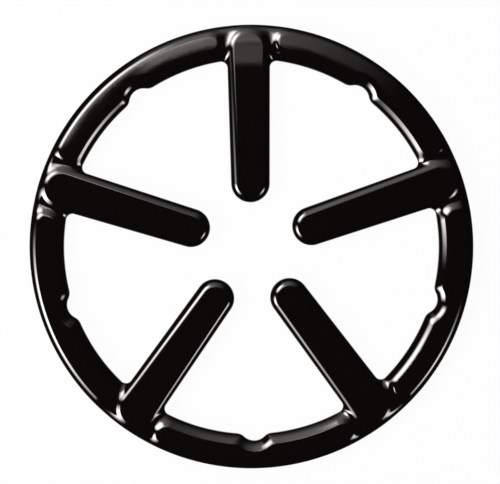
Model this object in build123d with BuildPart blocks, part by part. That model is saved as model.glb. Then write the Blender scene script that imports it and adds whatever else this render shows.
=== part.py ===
from build123d import *
import math
import os

# Pan support for a hob: one pressing of sheet steel, enamelled all over.
# A ring carries five fingers that point at the middle of the burner. Fingers and ring
# segments stand up as pads, with a small valley across the ring on each side of every
# finger root. The underside is hollow. Origin at the centre of the plane it rests on,
# +Z up, one finger along +Y.

# Driving dimensions, mm and degrees
outer_diameter = 140
ring_width = 11
finger_count = 5
tip_circle_diameter = 28
finger_tip_width = 12
finger_root_width = 13.4
height = 8
ring_drop = 0.3
valley_depth = 2
valley_width = 5.2
sheet = 1.4
root_corner = 2

# Notches in the inner edge of the ring, midway between the fingers
notch_depth = 2.1
notch_radius = 4.5
notch_lead = 4

# Shoulders of the pads: from the wall to the flat top, their bend and their slope
finger_shoulder = 2.3
finger_bend = 2.4
ring_inner_shoulder = 3
ring_outer_shoulder = 2.2
ring_bend = 2.6
slope = 45
pad_outer_corner = 2.8
pad_inner_corner = 0.9

# Worked out from the above
outer_radius = outer_diameter / 2
inner_radius = outer_radius - ring_width
tip_radius = finger_tip_width / 2
root_radius = finger_root_width / 2
tip_centre = tip_circle_diameter / 2 + tip_radius
root_centre = outer_radius - root_radius
notch_centre = inner_radius + notch_depth - notch_radius
pitch = 360 / finger_count
first_finger = 90
first_notch = first_finger + pitch / 2
ring_top = height - ring_drop
valley_floor = ring_top - valley_depth
valley_edge = root_radius - finger_shoulder + valley_width
slope_run = 1 / math.tan(math.radians(slope))
bend_share = math.tan(math.radians(slope) / 2)
near = 0.01


def on_circle(points, radius):
    """The points that lie on a circle about the origin."""
    return [p for p in points if abs(math.hypot(p.X, p.Y) - radius) < near]


def by_notch(point):
    """Whether a point is nearer to a notch than to a finger."""
    angle = math.degrees(math.atan2(point.Y, point.X))
    return abs((angle - first_finger) % pitch - pitch / 2) < pitch / 4


def finger_plan(grow):
    """Plan of one finger along +X, its outline moved outwards by a distance."""
    with BuildSketch() as plan:
        with Locations((tip_centre, 0)):
            Circle(tip_radius + grow)
        with Locations((root_centre, 0)):
            Circle(root_radius + grow)
        make_hull()
    return plan.sketch


def ring_plan(outer_inset, inner_inset):
    """Plan of the ring with its notches, each edge moved into the ring by a distance."""
    edge = inner_radius + inner_inset
    with BuildSketch() as plan:
        Circle(outer_radius - outer_inset)
        Circle(edge, mode=Mode.SUBTRACT)
        with PolarLocations(notch_centre, finger_count, first_notch):
            Circle(notch_radius + inner_inset, mode=Mode.SUBTRACT)
        fillet(on_circle(plan.vertices(), edge), notch_lead - inner_inset)
    return plan.sketch


def segment_plan(grow):
    """Plan of one ring segment's top between two valleys, moved outwards by a distance."""
    ring = ring_plan(ring_outer_shoulder - grow, ring_inner_shoulder - grow)
    with BuildSketch() as plan:
        add(ring)
        with PolarLocations(outer_radius, finger_count, first_finger):
            Rectangle(2 * outer_radius, 2 * (valley_edge - grow), mode=Mode.SUBTRACT)
        add(plan.faces().sort_by(Axis.Y)[-1], mode=Mode.REPLACE)
        ends = on_circle(plan.vertices(), outer_radius - ring_outer_shoulder + grow)
        fillet(ends, pad_outer_corner + grow)
        ends = on_circle(plan.vertices(), inner_radius + ring_inner_shoulder - grow)
        fillet([v for v in ends if not by_notch(v)], pad_inner_corner + grow)
    return plan.sketch


def support_plan(inset, corner):
    """Plan of the whole support, moved inwards by a distance, with rounded finger roots."""
    ring = ring_plan(inset, inset)
    finger = finger_plan(-inset)
    with BuildSketch() as plan:
        add(ring)
        with PolarLocations(0, finger_count, first_finger):
            add(finger)
        if corner > 0:
            roots = on_circle(plan.vertices(), inner_radius + inset)
            fillet([v for v in roots if not by_notch(v)], corner)
    return plan.sketch


def grow_at_foot(rise, bend):
    """How far a pad's foot stands out from its flat top."""
    return rise * slope_run + bend * bend_share


def bend_tops(part, rise, bend):
    """Give every pad its sloping side and the bend above it."""
    for top in part.faces().filter_by(Axis.Z).group_by(Axis.Z)[-1]:
        chamfer(top.edges(), rise * slope_run, rise, reference=top)
    tops = part.faces().filter_by(Axis.Z).group_by(Axis.Z)[-1]
    fillet(tops.edges(), bend)


# The pads start half a sheet below the valley floor, so that they run into the walls
pad_base = valley_floor - sheet / 2
finger_rise = height - pad_base
segment_rise = ring_top - pad_base
finger_foot = finger_plan(grow_at_foot(finger_rise, finger_bend) - finger_shoulder)
segment_foot = segment_plan(grow_at_foot(segment_rise, ring_bend))

with BuildPart() as finger_pad:
    with BuildSketch(Plane.XY.offset(pad_base - sheet / 2)):
        add(finger_foot)
    extrude(amount=finger_rise + sheet / 2)
    bend_tops(finger_pad, finger_rise, finger_bend)

with BuildPart() as segment_pad:
    with BuildSketch(Plane.XY.offset(pad_base - sheet / 2)):
        add(segment_foot)
    extrude(amount=segment_rise + sheet / 2)
    bend_tops(segment_pad, segment_rise, ring_bend)

# The hollow keeps a sheet's thickness inside the walls, under the tops and under the valleys
hollow_plan = support_plan(sheet, 0)
rib_width = valley_width + finger_shoulder - sheet
rib_middle = root_radius - sheet + rib_width / 2

with BuildPart() as hollow:
    with BuildSketch():
        add(hollow_plan)
    extrude(amount=ring_top - sheet)
    with BuildSketch(Plane.XY.offset(valley_floor - sheet)):
        with PolarLocations(0, finger_count, first_finger):
            with Locations((root_centre, rib_middle), (root_centre, -rib_middle)):
                Rectangle(2 * ring_width, rib_width)
    extrude(amount=height, mode=Mode.SUBTRACT)

# The walls stand on the whole plan, and the pads and valleys shape their top
outline = support_plan(0, root_corner)

with BuildPart() as pan_support:
    Cylinder(outer_diameter, valley_floor, align=(Align.CENTER, Align.CENTER, Align.MIN))
    with PolarLocations(0, finger_count, first_finger):
        add(finger_pad.part)
    with PolarLocations(0, finger_count):
        add(segment_pad.part)
    with BuildSketch():
        add(outline)
    extrude(amount=height, mode=Mode.INTERSECT)
    add(hollow.part, mode=Mode.SUBTRACT)

os.makedirs("parts", exist_ok=True)
pan_support.part.label = "pan_support"
export_step(pan_support.part, "parts/pan_support.step")
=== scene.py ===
import math

import bpy
import numpy as np
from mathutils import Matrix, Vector
from mathutils.geometry import delaunay_2d_cdt


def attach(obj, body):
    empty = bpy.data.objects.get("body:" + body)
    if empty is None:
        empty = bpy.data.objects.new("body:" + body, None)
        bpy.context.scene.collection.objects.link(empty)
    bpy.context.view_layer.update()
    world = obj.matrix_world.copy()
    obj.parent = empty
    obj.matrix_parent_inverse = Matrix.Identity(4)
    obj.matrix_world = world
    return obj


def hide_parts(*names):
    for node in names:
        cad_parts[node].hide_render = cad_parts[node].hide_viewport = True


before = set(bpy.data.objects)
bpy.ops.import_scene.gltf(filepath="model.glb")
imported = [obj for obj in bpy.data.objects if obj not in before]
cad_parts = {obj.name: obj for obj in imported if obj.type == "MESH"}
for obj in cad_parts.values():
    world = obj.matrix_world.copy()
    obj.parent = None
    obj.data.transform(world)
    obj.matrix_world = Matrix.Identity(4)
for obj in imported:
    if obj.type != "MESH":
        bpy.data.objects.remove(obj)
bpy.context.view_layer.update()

# Sizes of the pressing, in millimetres and degrees
OUTER_R = 70.0
INNER_R = 59.0
FINGERS = 5
FIRST_FINGER = 90.0
PITCH = 360.0 / FINGERS
TIP_R = 6.15
ROOT_R = 6.85
TIP_AT = 20.0
ROOT_AT = OUTER_R - ROOT_R
HEIGHT = 8.0
RING_TOP = 7.95
SHEET = 1.4
ROOT_CORNER = 2.0
NOTCH_DEPTH = 2.1
NOTCH_R = 4.5
NOTCH_LEAD = 4.0
NOTCH_AT = INNER_R + NOTCH_DEPTH - NOTCH_R
LEAD_AT = INNER_R + NOTCH_LEAD

# The shoulders, bends and valleys below were fitted to the reflections in the photograph, and rounded.
# Fingers: widths of the shoulder, radii of its bend, and where its side grows gentler
TIP_SHOULDER = 2.7
ROOT_SHOULDER = 2.41
FINGER_BEND = 3.7
ROOT_BEND = 4.27
ROOT_SLOPE = math.radians(22.7)
ROOT_FROM = 54.5
ROOT_TO = 62.5
END_SHIFT = -0.53

# Ring segments: outer shoulder, inner shoulder with its facet, and ends beside the valleys
OUTER_SHOULDER = 2.68
OUTER_BEND = 4.0
OUTER_SLOPE = math.radians(25.6)
INNER_SHOULDER = 4.4
INNER_BEND = 5.4
FACET_WIDTH = 0.95
FACET_BEND = 11.7
FACET = math.radians(7)
END_AT = 9.55
END_BEND = 4.65
END_SLOPE = math.radians(13.7)
END_CORNER = 3.08
END_BLEND = 2.0
INNER_CORNER = 2.1
LEAD_SOFT = 0.83
LEAD_IN = 0.68
LEAD_IN_BEND = 12.2
LEAD_IN_SLOPE = math.radians(5.2)

# Valleys: a low saddle with shoulders of its own, and how softly it runs into its neighbours
SADDLE = 7.258
SADDLE_OUTER = 2.08
SADDLE_OUTER_BEND = 3.0
SADDLE_INNER = 3.36
SADDLE_INNER_BEND = 6.7
SOFT_FINGER = 0.71
SOFT_RING = 0.58
SOFT_CREASE = 0.58

# Walls: slope of the shoulders, bends at the rim, inside and at the lower edge, and the draft
SLOPE = math.radians(44)
RIM = 0.25
INSIDE_BEND = 0.6
EDGE_R = 0.45
DRAFT = math.tan(math.radians(0.3))

# Mesh: steps between points along each stretch of the outlines
NOTCH_STEP = 0.42
RING_STEP = 1.0
CORNER_STEP = 0.16
TIP_STEP = 0.45
SIDE_STEPS = 16
OUTER_STEP = 1.4
VALLEY_REACH = 14.0
VALLEY_STEP = 0.38

# Mesh: rows that follow the outlines, by height on the walls and by depth into the support
INNER_DEPTH = 3.2
WALL_HEIGHTS = (EDGE_R, 2.4, 5.0)
TOP_DEPTHS = (0.06, 0.072, 0.09, 0.12, 0.17, 0.24, 0.33, 0.45, 0.6, 0.78, 0.98, 1.2, 1.45, 1.7, 1.95,
              2.2, 2.45, 2.7, 2.95, INNER_DEPTH)
HOLLOW_DEPTHS = (0.075, 0.15, 0.32, 0.7, INNER_DEPTH - SHEET)

# Mesh: fine and coarse steps of the points further in, and their clearances
TOP_STEPS = (0.3, 1.4)
UNDER_STEPS = (0.9, 2.5)
ROW_SHARE = 0.9
ROW_GAP = 0.6
FLAT_MARGIN = 0.5

# Working values: a millimetre in metres, the nudge for slopes, the search for heights, and limits
MM = 0.001
NUDGE = 0.01
LOWEST, HIGHEST = -40.0, 10.0
HALVINGS = 44
BATCH = 2000
TINY = 1e-9
MERGE = 1e-6


def fold(x, y):
    """Distance from the middle, angle from the nearest finger, and place along and across it."""
    r = np.hypot(x, y)
    angle = np.arctan2(y, x) - math.radians(FIRST_FINGER)
    pitch = math.radians(PITCH)
    angle = angle - pitch * np.round(angle / pitch)
    return r, angle, r * np.cos(angle), np.abs(r * np.sin(angle))


def stadium(u, v, tip, root, root_at):
    """Distance outside a finger's plan, from the radii of its ends and the place of its root."""
    length = root_at - TIP_AT
    lean = (tip - root) / length
    flat = math.sqrt(1 - lean * lean)
    along = u - TIP_AT
    k = flat * along - lean * v
    side = flat * v + lean * along - tip
    near = np.hypot(v, along) - tip
    far = np.hypot(v, along - length) - root
    return np.where(k < 0, near, np.where(k > flat * length, far, side))


def finger_flat(u, v):
    """Distance outside the flat top of a finger."""
    return stadium(u, v, TIP_R - TIP_SHOULDER, ROOT_R - ROOT_SHOULDER, ROOT_AT + END_SHIFT)


def lead_angle():
    """Angle between a notch and the centre of its lead."""
    reach = NOTCH_R + NOTCH_LEAD
    cosine = (LEAD_AT ** 2 + NOTCH_AT ** 2 - reach ** 2) / (2 * LEAD_AT * NOTCH_AT)
    return math.acos(cosine)


LEAD_ANGLE = lead_angle()


def ring_depth(r, angle):
    """Distance into the ring from its inner edge, notches and their leads included."""
    off = math.radians(PITCH / 2) - np.abs(angle)
    x, y = r * np.cos(off), np.abs(r * np.sin(off))
    lx, ly = LEAD_AT * math.cos(LEAD_ANGLE), LEAD_AT * math.sin(LEAD_ANGLE)
    bite = np.hypot(x - NOTCH_AT, y) - NOTCH_R
    lead = NOTCH_LEAD - np.hypot(x - lx, y - ly)
    past_lead = (x - NOTCH_AT) * ly - y * (lx - NOTCH_AT) > 0
    by_lead = (off < LEAD_ANGLE) & ~past_lead
    return np.where(by_lead, lead, np.minimum(r - INNER_R, bite))


def soft_depth(r, angle):
    """Distance into the ring from its inner edge, with the notches' leads softer further in."""
    off = math.radians(PITCH / 2) - np.abs(angle)
    edge = r - INNER_R
    bite = np.hypot(r * np.cos(off) - NOTCH_AT, r * np.sin(off)) - NOTCH_R
    return -soft_max(-edge, -bite, LEAD_SOFT)


def meet(a, b, radius):
    """Intersection of two distance fields, negative inside, with a round edge."""
    corner = np.hypot(np.maximum(a + radius, 0), np.maximum(b + radius, 0))
    return np.minimum(np.maximum(a, b), -radius) + corner


def soft_max(a, b, width):
    """The larger of two heights, with a soft change from one to the other."""
    over = np.maximum(width - np.abs(a - b), 0)
    return np.maximum(a, b) + over * over / (4 * width)


def ease(x, start, stop):
    """Soft step from 0 at a start to 1 at a stop."""
    t = np.clip((x - start) / (stop - start), 0, 1)
    return t * t * (3 - 2 * t)


def bend_drop(e, radius, slope):
    """Drop of a shoulder at a distance outside its flat top: a bend, then a slope."""
    e = np.maximum(e, 0)
    end = radius * np.sin(slope)
    bent = radius - np.sqrt(np.maximum(radius ** 2 - np.minimum(e, end) ** 2, 0))
    return bent + np.maximum(e - end, 0) * np.tan(slope)


def facet_drop(e):
    """Drop of the ring's inner shoulder: a shallow facet, then the bend and the slope."""
    turned = INNER_BEND * math.sin(FACET)
    facet = bend_drop(np.minimum(e, FACET_WIDTH), FACET_BEND, FACET)
    bend = bend_drop(np.maximum(e - FACET_WIDTH, 0) + turned, INNER_BEND, SLOPE)
    return facet + bend - bend_drop(turned, INNER_BEND, SLOPE)


def finger_top(u, v):
    """Height of the fingers, whose sides grow gentler towards the ring."""
    root = ease(u, ROOT_FROM, ROOT_TO)
    bend = FINGER_BEND + (ROOT_BEND - FINGER_BEND) * root
    return HEIGHT - bend_drop(finger_flat(u, v), bend, SLOPE + (ROOT_SLOPE - SLOPE) * root)


def ring_top(r, v, inset):
    """Height of the ring segments: outer side, ends and inner shoulder, with round corners."""
    outer, end, inner = r - (OUTER_R - OUTER_SHOULDER), END_AT - v, INNER_SHOULDER - inset
    side = meet(outer, end, END_CORNER)
    e = meet(side, inner, INNER_CORNER)
    at_end = ease(end - outer, -END_BLEND, END_BLEND)
    bend = OUTER_BEND + (END_BEND - OUTER_BEND) * at_end
    slope = OUTER_SLOPE + (END_SLOPE - OUTER_SLOPE) * at_end
    by_side = np.maximum(side + INNER_CORNER, 0) ** 2
    by_inner = np.maximum(inner + INNER_CORNER, 0) ** 2
    share = by_inner / np.maximum(by_side + by_inner, TINY)
    drop = bend_drop(e, bend, slope) * (1 - share) + facet_drop(e) * share
    return RING_TOP - drop - bend_drop(end + LEAD_IN, LEAD_IN_BEND, LEAD_IN_SLOPE)


def saddle_top(r, inset):
    """Height of the valleys' floor, which bends down to both edges of the ring."""
    outer = bend_drop(r - (OUTER_R - SADDLE_OUTER), SADDLE_OUTER_BEND, SLOPE)
    return SADDLE - np.hypot(outer, bend_drop(SADDLE_INNER - inset, SADDLE_INNER_BEND, SLOPE))


def top_height(x, y):
    """Height of the pads and valleys, with no rim."""
    r, angle, u, v = fold(x, y)
    inset = soft_depth(r, angle)
    saddle = saddle_top(r, inset)
    finger = soft_max(finger_top(u, v), saddle, SOFT_FINGER)
    ring = soft_max(ring_top(r, v, inset), saddle, SOFT_RING)
    return soft_max(finger, ring, SOFT_CREASE)


def top_slope(x, y):
    """Height of the pads and valleys, and its slope along x and y."""
    dx = (top_height(x + NUDGE, y) - top_height(x - NUDGE, y)) / (2 * NUDGE)
    dy = (top_height(x, y + NUDGE) - top_height(x, y - NUDGE)) / (2 * NUDGE)
    return top_height(x, y), dx, dy


def surface(x, y, depth, sheet, rim):
    """Height of the skin at a depth from the wall's foot: the outside, or a sheet's thickness in."""
    top, dx, dy = top_slope(x, y)
    lean = 1 / np.sqrt(1 + dx * dx + dy * dy)
    top = top - sheet / lean
    low, high = np.full_like(x, LOWEST), np.full_like(x, HIGHEST)
    for _ in range(HALVINGS):
        z = (low + high) / 2
        wall = z * DRAFT - (depth - sheet)
        outside = meet((z - top) * lean, wall, rim) > 0
        high = np.where(outside, z, high)
        low = np.where(outside, low, z)
    return (low + high) / 2


def skin(points, inward, depth, sheet, rim):
    """Places and normals of one row of the skin, which runs along an outline."""
    along = np.stack([-inward[:, 1], inward[:, 0]], 1)

    def height(shift_along, shift_in):
        p = points + inward * (depth + shift_in) + along * shift_along
        return surface(p[:, 0], p[:, 1], np.full(len(p), depth + shift_in), sheet, rim)

    z = height(0, 0)
    rise_along = (height(NUDGE, 0) - height(-NUDGE, 0)) / (2 * NUDGE)
    rise_in = (height(0, NUDGE) - height(0, -NUDGE)) / (2 * NUDGE)
    normal = np.empty((len(points), 3))
    normal[:, :2] = -along * rise_along[:, None] - inward * rise_in[:, None]
    normal[:, 2] = 1
    normal /= np.linalg.norm(normal, axis=1)[:, None]
    place = np.column_stack([points + inward * depth, z])
    return place, normal if sheet == 0 else -normal


def arc(centre, radius, start, stop, step, material_inside):
    """Points on an arc and the way into the material, without the last point."""
    count = max(2, int(math.ceil(abs(stop - start) * radius / step)))
    t = start + (stop - start) * np.arange(count) / count
    way = np.stack([np.cos(t), np.sin(t)], 1)
    return np.array(centre) + radius * way, -way if material_inside else way


def root_corner():
    """Centre of the round corner beside a finger along +X, and the way out of the finger's side."""
    lean = (ROOT_R - TIP_R) / (ROOT_AT - TIP_AT)
    out = np.array([-lean, math.sqrt(1 - lean * lean)])
    across = TIP_AT * out[0] + TIP_R + ROOT_CORNER
    ahead = math.sqrt((INNER_R - ROOT_CORNER) ** 2 - across ** 2)
    return across * out + ahead * np.array([out[1], -out[0]]), out


def edge_depth(r, angle, u, v):
    """Distance into the support from its edges."""
    corner, out = root_corner()
    to_ring = corner / np.linalg.norm(corner)
    du, dv = u - corner[0], v - corner[1]
    finger_side = du * to_ring[1] - dv * to_ring[0] > 0
    ring_side = du * out[1] - dv * out[0] > 0
    inner = np.maximum(ring_depth(r, angle), -stadium(u, v, TIP_R, ROOT_R, ROOT_AT))
    inner = np.where(finger_side & ring_side, np.hypot(du, dv) - ROOT_CORNER, inner)
    return np.minimum(inner, OUTER_R - r)


def half_outline():
    """Inner outline from the middle of a notch to the tip of the finger along +X."""
    half = math.radians(PITCH / 2)
    notch = NOTCH_AT * np.array([math.cos(half), math.sin(half)])
    lead = LEAD_AT * np.array([math.cos(half - LEAD_ANGLE), math.sin(half - LEAD_ANGLE)])
    to_lead = math.atan2(lead[1] - notch[1], lead[0] - notch[0])
    corner, out = root_corner()
    corner_turn = math.atan2(corner[1], corner[0])
    out_turn = math.atan2(out[1], out[0])
    valley = VALLEY_REACH / INNER_R
    rows = [arc(notch, NOTCH_R, half, to_lead, NOTCH_STEP, False)]
    lead_turns = (to_lead + math.pi, half - LEAD_ANGLE + math.pi)
    rows.append(arc(lead, NOTCH_LEAD, *lead_turns, NOTCH_STEP, True))
    rows.append(arc((0, 0), INNER_R, half - LEAD_ANGLE, valley, RING_STEP, False))
    rows.append(arc((0, 0), INNER_R, valley, corner_turn, VALLEY_STEP, False))
    rows.append(arc(corner, ROOT_CORNER, corner_turn, out_turn - math.pi, CORNER_STEP, False))
    first = corner - ROOT_CORNER * out
    last = np.array([TIP_AT, 0]) + TIP_R * out
    t = np.arange(SIDE_STEPS) / SIDE_STEPS
    rows.append((first + t[:, None] * (last - first), np.tile(-out, (SIDE_STEPS, 1))))
    rows.append(arc((TIP_AT, 0), TIP_R, out_turn, math.pi, TIP_STEP, True))
    return np.concatenate([p for p, _ in rows]), np.concatenate([n for _, n in rows])


def turn(points, degrees):
    """Points or directions turned about the middle."""
    c, s = math.cos(math.radians(degrees)), math.sin(math.radians(degrees))
    return points @ np.array([[c, s], [-s, c]])


def inner_outline():
    """The whole inner edge at the foot, as points and the way into the material."""
    points, inward = half_outline()
    flip = np.array([1, -1])
    tip = np.array([[TIP_AT - TIP_R, 0]])
    points = np.concatenate([points, tip, (points * flip)[::-1][:-1]])
    inward = np.concatenate([inward, [[1, 0]], (inward * flip)[::-1][:-1]])
    turns = [FIRST_FINGER - PITCH * k for k in range(FINGERS)]
    return (np.concatenate([turn(points, a) for a in turns]),
            np.concatenate([turn(inward, a) for a in turns]))


def outer_outline():
    """The outer edge at the foot, as points and the way into the material."""
    half, valley = math.radians(PITCH / 2), VALLEY_REACH / OUTER_R
    near = np.arange(-valley, valley, VALLEY_STEP / OUTER_R)
    far = np.arange(valley, 2 * half - valley, OUTER_STEP / OUTER_R)
    turns = math.radians(FIRST_FINGER) + 2 * half * np.arange(FINGERS)
    t = (turns[:, None] + np.concatenate([near, far])).ravel()
    way = np.stack([np.cos(t), np.sin(t)], 1)
    return OUTER_R * way, -way


def skin_rows(points, inward):
    """Rows of the skin from the flat top, round the sheet's lower edge, to the hollow's top."""
    rows = [skin(points, inward, d, 0, RIM) for d in reversed(TOP_DEPTHS)]

    def flat_row(depth, z, way_in, way_up):
        place = np.column_stack([points + inward * depth, np.full(len(points), z)])
        normal = np.column_stack([inward * way_in, np.full(len(points), way_up)])
        return place, normal

    for z in reversed(WALL_HEIGHTS):
        rows.append(flat_row(z * DRAFT, z, -1, 0))
    near, far = EDGE_R * (1 + DRAFT), SHEET - EDGE_R * (1 - DRAFT)
    for degrees in (45, 90):
        s, c = math.sin(math.radians(degrees)), math.cos(math.radians(degrees))
        rows.append(flat_row(near - EDGE_R * c, EDGE_R * (1 - s), -c, -s))
    for degrees in (90, 45):
        s, c = math.sin(math.radians(degrees)), math.cos(math.radians(degrees))
        rows.append(flat_row(far + EDGE_R * c, EDGE_R * (1 - s), c, -s))
    rows.append(flat_row(SHEET + EDGE_R * DRAFT, EDGE_R, 1, 0))
    rows += [skin(points, inward, SHEET + d, SHEET, INSIDE_BEND) for d in HOLLOW_DEPTHS]
    return rows


def flat_rims(step):
    """Points along the edges of the fingers' flat tops."""
    tip, root = TIP_R - TIP_SHOULDER, ROOT_R - ROOT_SHOULDER
    end = ROOT_AT + END_SHIFT
    side = math.acos((tip - root) / (end - TIP_AT))
    out = np.array([math.cos(side), math.sin(side)])
    first, last = np.array([TIP_AT, 0]) + tip * out, np.array([end, 0]) + root * out
    t = np.arange(0, 1, step / (end - TIP_AT))
    line = first + t[:, None] * (last - first)
    half = np.concatenate([line, arc((end, 0), root, side, 0, step, True)[0]])
    rim = np.concatenate([half, [[end + root, 0]], half * np.array([1, -1])])
    return np.concatenate([turn(rim, FIRST_FINGER - PITCH * k) for k in range(FINGERS)])


def inside_points(fine_step, coarse_step):
    """Points further in than the rows along the outlines, close together off the flat tops."""
    found = []
    for step, fine in ((fine_step, True), (coarse_step, False)):
        row_step = ROW_SHARE * step
        across, along = int(OUTER_R / step), int(OUTER_R / row_step)
        columns, lines = np.arange(-across, across + 1), np.arange(-along, along + 1)
        xs, ys = np.meshgrid(columns * step, lines * row_step)
        xs = xs + (np.arange(xs.shape[0]) % 2)[:, None] * step / 2
        points = np.stack([xs.ravel(), ys.ravel()], 1)
        if fine:
            beside = np.abs(finger_flat(*fold(*points.T)[2:])) > ROW_GAP * step
            points = np.concatenate([points[beside], flat_rims(step)])
        x, y = points.T
        r, angle, u, v = fold(x, y)
        on_finger = finger_flat(u, v) < -FLAT_MARGIN
        past_end = v > END_AT + LEAD_IN + FLAT_MARGIN
        on_ring = past_end & (soft_depth(r, angle) > INNER_SHOULDER + FLAT_MARGIN)
        clear = edge_depth(r, angle, u, v) > INNER_DEPTH + step * ROW_GAP
        keep = clear & ((on_finger | on_ring) != fine)
        found.append(points[keep])
    return np.concatenate(found)


def inside_loops(points, loops):
    """Whether each point lies inside the outline that closed loops make together."""
    inside = np.zeros(len(points), bool)
    for loop in loops:
        ax, ay = loop[:, 0], loop[:, 1]
        bx, by = np.roll(ax, -1), np.roll(ay, -1)
        for start in range(0, len(points), BATCH):
            px, py = points[start:start + BATCH].T[:, :, None]
            crosses = (ay > py) != (by > py)
            at = ax + (py - ay) * (bx - ax) / np.where(by == ay, TINY, by - ay)
            odd = np.sum(crosses & (px < at), axis=1) % 2
            inside[start:start + BATCH] ^= odd.astype(bool)
    return inside


def fill(loops, extra):
    """Triangles between loops of points, with further points inside them."""
    points = np.concatenate([*loops, extra])
    edges, start = [], 0
    for loop in loops:
        n = len(loop)
        edges += [(start + i, start + (i + 1) % n) for i in range(n)]
        start += n
    result = delaunay_2d_cdt([Vector(p) for p in points], edges, [], 0, MERGE, True)
    triangles, sources = result[2], result[3]
    tris = np.array([ids[0] for ids in sources])[np.array(triangles)]
    return tris[inside_loops(points[tris].mean(1), loops)]


def build_skin():
    """The whole skin as points, normals, four-sided faces and triangles."""
    outlines = [inner_outline(), outer_outline()]
    strips = [skin_rows(p, n) for p, n in outlines]
    places, normals, faces, tops, unders, base = [], [], [], [], [], 0
    for rows in strips:
        n = len(rows[0][0])
        for place, normal in rows:
            places.append(place)
            normals.append(normal)
        i = np.arange(n)
        j = (i + 1) % n
        for k in range(len(rows) - 1):
            a, b = base + k * n, base + (k + 1) * n
            faces.append(np.stack([a + i, a + j, b + j, b + i], 1))
        tops.append(base + i)
        unders.append(base + (len(rows) - 1) * n + i)
        base += len(rows) * n
    loops = [rows[0][0][:, :2] for rows in strips]
    triangles = []
    for edge, sheet, steps in ((tops, 0, TOP_STEPS), (unders, SHEET, UNDER_STEPS)):
        extra = inside_points(*steps)
        x, y = extra[:, 0], extra[:, 1]
        z, dx, dy = top_slope(x, y)
        up = np.column_stack([-dx, -dy, np.ones(len(x))])
        length = np.linalg.norm(up, axis=1)
        up /= length[:, None]
        places.append(np.column_stack([x, y, z - sheet * length]))
        normals.append(up if sheet == 0 else -up)
        index = np.concatenate([*edge, base + np.arange(len(extra))])
        triangles.append(index[fill(loops, extra)])
        base += len(extra)
    return [np.concatenate(part) for part in (places, normals, faces, triangles)]


def facing(places, normals, faces):
    """Faces with their corners in the order that makes them face along their normals."""
    a, b, c = (places[faces[:, k]] for k in (0, 1, 2))
    d = places[faces[:, -1]]
    face = np.cross(c - a, d - b) if faces.shape[1] == 4 else np.cross(b - a, c - a)
    wrong = np.einsum("ij,ij->i", face, normals[faces].sum(1)) < 0
    faces = faces.copy()
    faces[wrong] = faces[wrong][:, ::-1]
    return faces


def make_mesh(name):
    """The pressing as one closed mesh with its own normals."""
    places, normals, quads, tris = build_skin()
    quads, tris = facing(places, normals, quads), facing(places, normals, tris)
    mesh = bpy.data.meshes.new(name)
    mesh.from_pydata((places * MM).tolist(), [], quads.tolist() + tris.tolist())
    mesh.polygons.foreach_set("use_smooth", np.ones(len(mesh.polygons), bool))
    mesh.normals_split_custom_set_from_vertices(normals.tolist())
    mesh.update()
    return mesh


def new_material(name):
    """A material with its nodes and links."""
    material = bpy.data.materials.new(name)
    material.use_nodes = True
    return material, material.node_tree.nodes, material.node_tree.links


def add_object(name, data):
    """An object in the scene."""
    thing = bpy.data.objects.new(name, data)
    bpy.context.scene.collection.objects.link(thing)
    return thing


# Enamel: noises as scale and detail, rises of the bumps in metres
ENAMEL_COLOUR = (0.0039, 0.0029, 0.003, 1)
ENAMEL_IOR = 1.8
ROUGHNESS = (0.008, 0.02)
GLOSS_NOISE = (90, 3)
GLOSS_SPAN = (0.3, 0.7)
WAVE_NOISE = (140, 1)
WAVE_RISE = 0.0000008
PEEL_NOISE = (600, 2)
PEEL_RISE = 0.0000003


def enamel():
    """Black gloss enamel, fired on steel: slightly wavy, with a faint change in gloss."""
    material, nodes, links = new_material("black_enamel")
    shader = nodes["Principled BSDF"]
    shader.inputs["Base Color"].default_value = ENAMEL_COLOUR
    shader.inputs["IOR"].default_value = ENAMEL_IOR
    place = nodes.new("ShaderNodeTexCoord")

    def noise(scale, detail):
        node = nodes.new("ShaderNodeTexNoise")
        node.inputs["Scale"].default_value = scale
        node.inputs["Detail"].default_value = detail
        links.new(place.outputs["Object"], node.inputs["Vector"])
        return node.outputs["Fac"]

    def bump(rise, height):
        node = nodes.new("ShaderNodeBump")
        node.inputs["Distance"].default_value = rise
        links.new(height, node.inputs["Height"])
        return node

    gloss = nodes.new("ShaderNodeMapRange")
    gloss.inputs["From Min"].default_value, gloss.inputs["From Max"].default_value = GLOSS_SPAN
    gloss.inputs["To Min"].default_value, gloss.inputs["To Max"].default_value = ROUGHNESS
    links.new(noise(*GLOSS_NOISE), gloss.inputs["Value"])
    links.new(gloss.outputs["Result"], shader.inputs["Roughness"])
    wave = bump(WAVE_RISE, noise(*WAVE_NOISE))
    peel = bump(PEEL_RISE, noise(*PEEL_NOISE))
    links.new(wave.outputs["Normal"], peel.inputs["Normal"])
    links.new(peel.outputs["Normal"], shader.inputs["Normal"])
    return material


body = add_object("enamelled_support", make_mesh("enamelled_support"))
body.data.materials.append(enamel())
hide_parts("pan_support")
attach(body, "root")

# Floor: half its width in metres, its own colour, and the share of white that is seen of it
FLOOR_HALF = 4.0
FLOOR_COLOUR = (0.85, 0.85, 0.85, 1)
FLOOR_WHITE = 1.0
FLOOR_SHARE = 0.96


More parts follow.
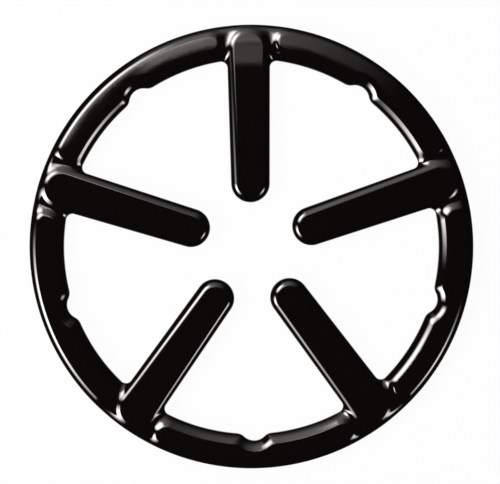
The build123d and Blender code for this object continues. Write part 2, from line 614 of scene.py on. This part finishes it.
def paper():
    """White floor for camera and reflections, which still takes a shadow."""
    material, nodes, links = new_material("white_floor")
    nodes.clear()
    output = nodes.new("ShaderNodeOutputMaterial")
    mix = nodes.new("ShaderNodeMixShader")
    diffuse = nodes.new("ShaderNodeBsdfDiffuse")
    diffuse.inputs["Color"].default_value = FLOOR_COLOUR
    glow = nodes.new("ShaderNodeEmission")
    glow.inputs["Strength"].default_value = FLOOR_WHITE
    path = nodes.new("ShaderNodeLightPath")

    def combine(operation, first, second=None):
        node = nodes.new("ShaderNodeMath")
        node.operation = operation
        links.new(first, node.inputs[0])
        if second:
            links.new(second, node.inputs[1])
        return node

    seen = combine("MAXIMUM", path.outputs["Is Camera Ray"], path.outputs["Is Glossy Ray"])
    shown = combine("MAXIMUM", seen.outputs[0], path.outputs["Is Transmission Ray"])
    share = combine("MULTIPLY", shown.outputs[0])
    share.inputs[1].default_value = FLOOR_SHARE
    links.new(share.outputs[0], mix.inputs[0])
    links.new(diffuse.outputs[0], mix.inputs[1])
    links.new(glow.outputs[0], mix.inputs[2])
    links.new(mix.outputs[0], output.inputs["Surface"])
    return material


floor_mesh = bpy.data.meshes.new("floor")
floor_mesh.from_pydata([(-FLOOR_HALF, -FLOOR_HALF, 0), (FLOOR_HALF, -FLOOR_HALF, 0),
                        (FLOOR_HALF, FLOOR_HALF, 0), (-FLOOR_HALF, FLOOR_HALF, 0)], [], [(0, 1, 2, 3)])
floor = add_object("floor", floor_mesh)
floor_mesh.materials.append(paper())

# Light tent: radius in metres, rings of points by zenith angle, step of azimuth in degrees
TENT_RADIUS = 1.0
TENT_RINGS = ((4.5, 6, 0.05), (6, 16, 0.5), (16, 89, 1.0))
TENT_STEP = 2.0
TENT_DARK = 0.01
TENT_COLOUR = (1.0, 0.945, 0.91, 1)


def ramp(x, start, width):
    """Soft step from 0 to 1, centred on a start."""
    t = np.clip((x - start) / width + 0.5, 0, 1)
    return t * t * (3 - 2 * t)


def patch(azimuth, zenith, azimuths, soft_a, zeniths, soft_z, level):
    """Glow of one soft patch of the light tent, between two azimuths and two zenith angles."""
    across = ramp(azimuth, azimuths[0], soft_a[0]) * (1 - ramp(azimuth, azimuths[1], soft_a[1]))
    down = ramp(zenith, zeniths[0], soft_z[0]) * (1 - ramp(zenith, zeniths[1], soft_z[1]))
    return level * across * down


def tent_glow(azimuth, zenith):
    """Glow of the light tent by direction, from six lights behind it."""

    def light(azimuths, soft_a, zeniths, soft_z, level):
        """A light from its two azimuths, two zenith angles, how soft each end is, and its level."""
        return patch(azimuth, zenith, azimuths, soft_a, zeniths, soft_z, level)

    key_left = light((185, 215), (25, 35), (28, 45), (1, 12), 18)
    fill_upper_left = light((120, 155), (25, 20), (15, 33), (20, 15), 16)
    wash_above = light((85, 120), (90, 10), (5.2, 45), (0.1, 30), 1.5)
    band_above = light((80, 100), (15, 15), (4.65, 5.2), (0.15, 0.3), 0.5)
    band_upper_left = light((100, 150), (12, 4), (5.4, 9), (0.1, 4), 2)
    strip_lower_right = light((318, 335), (25, 20), (32, 44), (3, 4), 9)
    upper = key_left + fill_upper_left + wash_above + band_above
    return upper + band_upper_left + strip_lower_right


def tent_mesh():
    """Mesh of the tent where it glows, with its glow as an attribute."""
    zeniths = np.concatenate([np.arange(*ring) for ring in TENT_RINGS])
    azimuths = np.arange(0, 360, TENT_STEP)
    zen, azi = np.meshgrid(zeniths, azimuths, indexing="ij")
    glow = tent_glow(azi, zen).ravel()
    zen, azi = np.radians(zen.ravel()), np.radians(azi.ravel())
    way = np.stack([np.sin(zen) * np.cos(azi), np.sin(zen) * np.sin(azi), np.cos(zen)], 1)
    n = len(azimuths)
    i, j = np.meshgrid(np.arange(len(zeniths) - 1), np.arange(n), indexing="ij")
    i, j = i.ravel(), j.ravel()
    k = (j + 1) % n
    faces = np.stack([i * n + j, i * n + k, (i + 1) * n + k, (i + 1) * n + j], 1)
    faces = faces[glow[faces].max(1) > TENT_DARK]
    mesh = bpy.data.meshes.new("light_tent")
    mesh.from_pydata((TENT_RADIUS * way).tolist(), [], faces.tolist())
    attribute = mesh.attributes.new("glow", "FLOAT", "POINT")
    attribute.data.foreach_set("value", glow.astype(np.float32))
    return mesh


def tent_cloth():
    """Lit cloth of the tent, as bright as the mesh's glow."""
    material, nodes, links = new_material("light_tent")
    nodes.clear()
    output = nodes.new("ShaderNodeOutputMaterial")
    emission = nodes.new("ShaderNodeEmission")
    emission.inputs["Color"].default_value = TENT_COLOUR
    attribute = nodes.new("ShaderNodeAttribute")
    attribute.attribute_name = "glow"
    links.new(attribute.outputs["Fac"], emission.inputs["Strength"])
    links.new(emission.outputs[0], output.inputs["Surface"])
    return material


tent = add_object("light_tent", tent_mesh())
tent.data.materials.append(tent_cloth())
tent.visible_camera = False

WORLD_COLOUR = (0.006, 0.006, 0.006, 1)
world = bpy.data.worlds.new("studio")
bpy.context.scene.world = world
world.use_nodes = True
background = world.node_tree.nodes["Background"]
background.inputs["Color"].default_value = WORLD_COLOUR
background.inputs["Strength"].default_value = 1.0

# Camera straight above, turned so that the support sits as it does in the photograph
CAMERA_PLACE = (-0.00043, 0.00142, 2.4)
CAMERA_TURN = math.radians(-0.87)
LENS = 546.8
SENSOR = 36.0
camera_data = bpy.data.cameras.new("camera")
camera_data.lens = LENS
camera_data.sensor_width = SENSOR
camera = add_object("camera", camera_data)
camera.location = CAMERA_PLACE
camera.rotation_euler = (0, 0, CAMERA_TURN)
bpy.context.scene.camera = camera

bpy.context.scene.view_settings.view_transform = "Standard"

bpy.context.view_layer.update()
